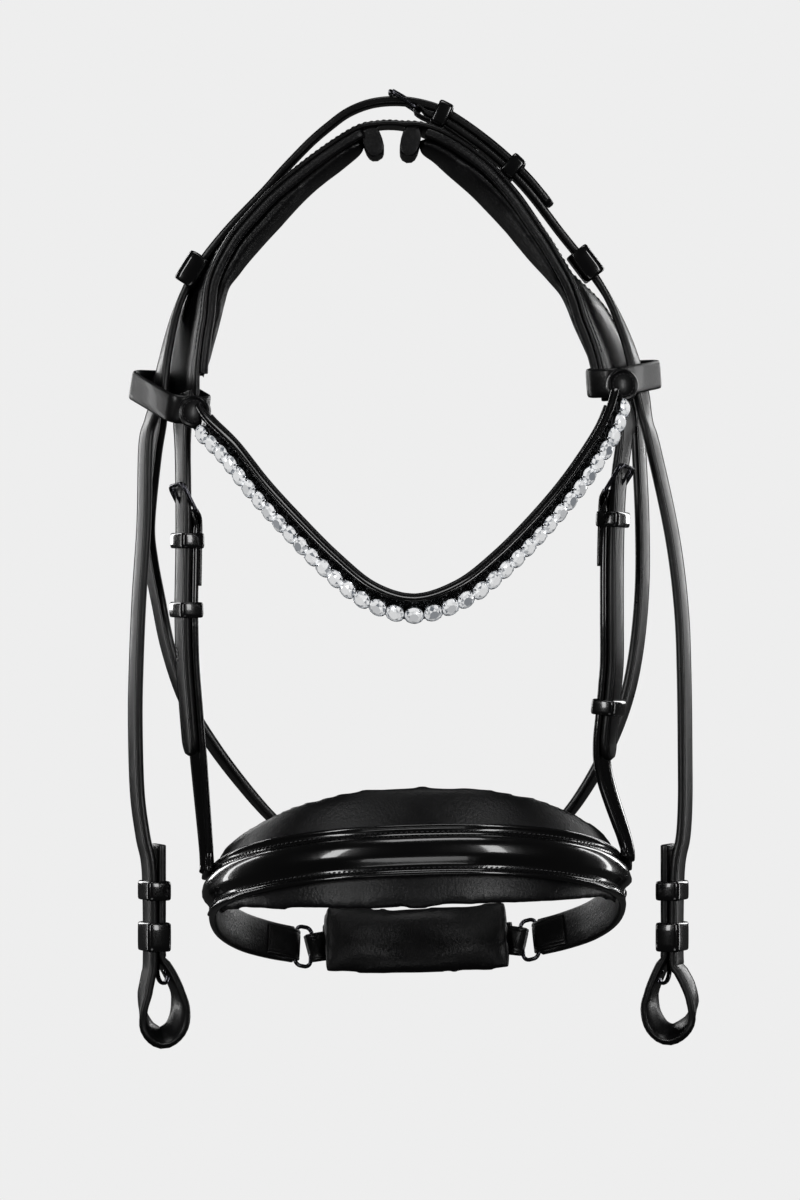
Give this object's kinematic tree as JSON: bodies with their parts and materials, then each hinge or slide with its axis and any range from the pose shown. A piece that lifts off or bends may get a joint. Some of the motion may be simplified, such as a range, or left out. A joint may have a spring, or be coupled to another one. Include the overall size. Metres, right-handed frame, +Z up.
{
  "type": "snaffle bridle",
  "caption": "Black leather snaffle bridle with a padded anatomical crown, a V-shaped crystal browband, a throatlatch, and a wide padded patent noseband with a chin pad.",
  "frame": {"origin": "the middle of the crown, where the bridle rests on the horse's poll", "axes": "+X across the horse's head, +Y from its face towards its neck, +Z up"},
  "size_m": [0.3019, 0.1897, 0.4975],
  "materials": {
    "bridle_leather": "smooth dyed bridle leather, satin",
    "patent_leather": "patent leather, high gloss",
    "padded_leather": "soft grained leather over foam, matt",
    "buckle_metal": "black nickel plate, polished",
    "crystal": "clear foiled crystals in silver claw cups"
  },
  "bodies": {
    "cheekpiece_left": {"bit_fixed_keeper_left": "patent_leather", "cheekpiece_left": "bridle_leather", "hook_stud_left": "buckle_metal"},
    "cheekpiece_right": {"bit_fixed_keeper_right": "patent_leather", "cheekpiece_right": "bridle_leather", "hook_stud_right": "buckle_metal"},
    "bit_running_keeper_left": {"bit_running_keeper_left": "patent_leather"},
    "bit_running_keeper_right": {"bit_running_keeper_right": "patent_leather"},
    "headpiece": {"browband": "patent_leather", "browband_lining": "padded_leather", "browband_loop_left": "patent_leather", "browband_loop_right": "patent_leather", "crown": "bridle_leather", "crystal_chain": "crystal", "head_loop_left": "patent_leather", "head_loop_right": "patent_leather", "pad_left": "padded_leather", "pad_right": "padded_leather", "poll_billet": "bridle_leather", "poll_buckle": "buckle_metal", "poll_fixed_keeper": "patent_leather", "poll_strap": "bridle_leather"},
    "noseband": {"chin_billet": "bridle_leather", "chin_buckle": "buckle_metal", "chin_fixed_keeper": "patent_leather", "chin_pad": "padded_leather", "chin_strap": "bridle_leather", "hanger_left_billet": "bridle_leather", "hanger_left_buckle": "buckle_metal", "hanger_left_fixed_keeper": "patent_leather", "hanger_left_strap": "bridle_leather", "hanger_right_billet": "bridle_leather", "hanger_right_buckle": "buckle_metal", "hanger_right_fixed_keeper": "patent_leather", "hanger_right_strap": "bridle_leather", "noseband": "patent_leather", "noseband_padding": "padded_leather", "noseband_roll": "patent_leather"},
    "chin_ring_left": {"chin_ring_left": "buckle_metal"},
    "chin_ring_right": {"chin_ring_right": "buckle_metal"},
    "chin_running_keeper": {"chin_running_keeper": "patent_leather"},
    "chin_tongue": {"chin_tongue": "buckle_metal"},
    "hanger_left_running_keeper": {"hanger_left_running_keeper": "patent_leather"},
    "hanger_left_tongue": {"hanger_left_tongue": "buckle_metal"},
    "hanger_right_running_keeper": {"hanger_right_running_keeper": "patent_leather"},
    "hanger_right_tongue": {"hanger_right_tongue": "buckle_metal"},
    "poll_running_keeper": {"poll_running_keeper": "patent_leather"},
    "poll_tongue": {"poll_tongue": "buckle_metal"},
    "throatlatch": {"throatlatch": "bridle_leather"}
  },
  "joints": [
    {"name": "noseband_swing", "type": "hinge", "parent": "headpiece", "child": "noseband", "pos_m": [0, -0.0215, -0.15], "axis": [1, 0, 0], "range_deg": [-4, 4]},
    {"name": "cheekpiece_left_swing", "type": "hinge", "parent": "headpiece", "child": "cheekpiece_left", "pos_m": [-0.138, 0.0007, -0.15], "axis": [1, 0, 0], "range_deg": [-4, 4]},
    {"name": "cheekpiece_right_swing", "type": "hinge", "parent": "headpiece", "child": "cheekpiece_right", "pos_m": [0.119, 0.0007, -0.15], "axis": [1, 0, 0], "range_deg": [-4, 4]},
    {"name": "throatlatch_swing", "type": "hinge", "parent": "headpiece", "child": "throatlatch", "pos_m": [-0.009, 0.015, -0.15], "axis": [1, 0, 0], "range_deg": [-4, 4]},
    {"name": "poll_tongue_turn", "type": "hinge", "parent": "headpiece", "child": "poll_tongue", "pos_m": [0.0006, 0, 0.00755], "axis": [0, 1, 0], "range_deg": [0, 60]},
    {"name": "hanger_left_tongue_turn", "type": "hinge", "parent": "noseband", "child": "hanger_left_tongue", "pos_m": [-0.1167, -0.01868, -0.20305], "axis": [0.3894, -0.9175, 0.0811], "range_deg": [0, 60]},
    {"name": "hanger_right_tongue_turn", "type": "hinge", "parent": "noseband", "child": "hanger_right_tongue", "pos_m": [0.09957, -0.01868, -0.19304], "axis": [0.3881, 0.9143, -0.1158], "range_deg": [0, 60]},
    {"name": "chin_tongue_turn", "type": "hinge", "parent": "noseband", "child": "chin_tongue", "pos_m": [0.00652, 0.08422, -0.43102], "axis": [-0.0021, 0.2875, 0.9578], "range_deg": [0, 60]},
    {"name": "poll_keeper_slide", "type": "slide", "parent": "headpiece", "child": "poll_running_keeper", "axis": [0.7198, -0.0081, -0.6941], "range_m": [-0.0025, 0.0025]},
    {"name": "hanger_left_keeper_slide", "type": "slide", "parent": "noseband", "child": "hanger_left_running_keeper", "axis": [0.0025, 0.0214, -0.9998], "range_m": [-0.005, 0.005]},
    {"name": "hanger_right_keeper_slide", "type": "slide", "parent": "noseband", "child": "hanger_right_running_keeper", "axis": [-0.0768, 0.0429, -0.9961], "range_m": [-0.005, 0.005]},
    {"name": "bit_left_keeper_slide", "type": "slide", "parent": "cheekpiece_left", "child": "bit_running_keeper_left", "axis": [0, 0, 1], "range_m": [-0.0015, 0.009]},
    {"name": "bit_right_keeper_slide", "type": "slide", "parent": "cheekpiece_right", "child": "bit_running_keeper_right", "axis": [0, 0, 1], "range_m": [-0.0015, 0.009]},
    {"name": "chin_keeper_slide", "type": "slide", "parent": "noseband", "child": "chin_running_keeper", "axis": [-0.9856, -0.1685, 0.0145], "range_m": [-0.002, 0.002]},
    {"name": "chin_ring_left_turn", "type": "hinge", "parent": "noseband", "child": "chin_ring_left", "pos_m": [-0.06473, 0.06551, -0.43176], "axis": [0.0344, 0.4114, 0.9108], "range_deg": [-8, 8]},
    {"name": "chin_ring_right_turn", "type": "hinge", "parent": "noseband", "child": "chin_ring_right", "pos_m": [0.06474, 0.0655, -0.42787], "axis": [-0.0888, 0.41, 0.9077], "range_deg": [-8, 8]}
  ]
}
